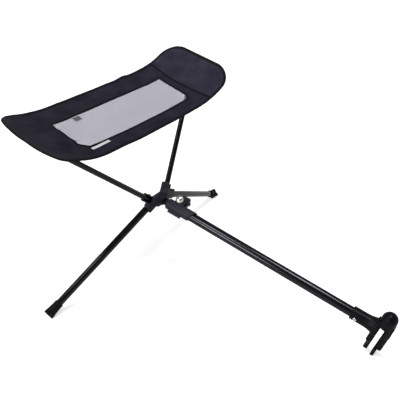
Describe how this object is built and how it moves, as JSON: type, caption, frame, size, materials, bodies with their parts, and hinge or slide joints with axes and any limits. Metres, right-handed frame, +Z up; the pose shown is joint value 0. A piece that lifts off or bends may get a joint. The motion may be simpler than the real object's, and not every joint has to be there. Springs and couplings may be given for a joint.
{
  "type": "clip-on camping chair footrest",
  "caption": "Folding footrest for a camping chair: fabric sling on a tubular frame with folding legs and a telescoping arm that ends in a fork clip.",
  "frame": {"origin": "middle of the footprint, on the floor that the two feet and the clip's outer prong stand on", "axes": "+X along the sling, +Y away from the chair, +Z up; the arm runs to -Y"},
  "size_m": [0.571, 0.6882, 0.3898],
  "materials": {
    "black_tube": "gloss black powder coat",
    "hub_plastic": "fine grained moulding",
    "bright_steel": "bright plated",
    "dark_steel": "blackened",
    "foot_rubber": "matte",
    "sling_fabric": "coarse plain-weave polyester",
    "sling_netting": "open grey netting",
    "binding_tape": "ribbed tape",
    "patch_fabric": "smooth woven patch, blank",
    "tag_fabric": "folded grey tape, blank"
  },
  "bodies": {
    "hub": {"hub_body": "hub_plastic", "right_pole": "black_tube", "left_pole": "black_tube", "right_pole_pin": "dark_steel", "left_pole_pin": "dark_steel", "right_pole_cap": "hub_plastic", "left_pole_cap": "hub_plastic", "right_leg_pin": "dark_steel", "left_leg_pin": "dark_steel", "inner_rod": "black_tube", "rod_plug": "hub_plastic", "rod_pin": "dark_steel", "sling_cloth": "sling_fabric", "sling_mesh": "sling_netting", "sling_binding": "binding_tape", "right_end_board": "hub_plastic", "left_end_board": "hub_plastic", "right_tip_pocket": "hub_plastic", "left_tip_pocket": "hub_plastic", "label_patch": "patch_fabric", "side_tag": "tag_fabric"},
    "right_leg_body": {"right_leg": "black_tube", "right_leg_eye": "hub_plastic", "right_foot": "foot_rubber"},
    "left_leg_body": {"left_leg": "black_tube", "left_leg_eye": "hub_plastic", "left_foot": "foot_rubber"},
    "glide": {"glide_ring": "hub_plastic"},
    "arm": {"arm_tube": "black_tube", "clamp_sleeve": "hub_plastic", "clamp_bolt": "bright_steel", "clamp_washer": "bright_steel", "clip_body": "hub_plastic", "clip_liner": "foot_rubber", "clip_screw": "bright_steel"},
    "knob": {"clamp_knob": "hub_plastic"}
  },
  "joints": [
    {"name": "right_leg_fold", "type": "hinge", "parent": "hub", "child": "right_leg_body", "pos_m": [0.03111, 0.17367, 0.14338], "axis": [0.4334, 0.227, 0.8722], "range_deg": [0, 70]},
    {"name": "left_leg_fold", "type": "hinge", "parent": "hub", "child": "left_leg_body", "pos_m": [-0.03111, 0.17367, 0.14338], "axis": [0.4334, -0.227, -0.8722], "range_deg": [0, 70]},
    {"name": "arm_twist", "type": "hinge", "parent": "hub", "child": "glide", "pos_m": [0, 0.17135, 0.15], "axis": [0, -0.9836, -0.1805], "continuous": true},
    {"name": "arm_slide", "type": "slide", "parent": "glide", "child": "arm", "axis": [0, -0.9836, -0.1805], "range_m": [0, 0.25]},
    {"name": "knob_turn", "type": "hinge", "parent": "arm", "child": "knob", "pos_m": [0.01189, 0.12257, 0.15546], "axis": [0.766, 0.116, -0.6322], "continuous": true}
  ]
}
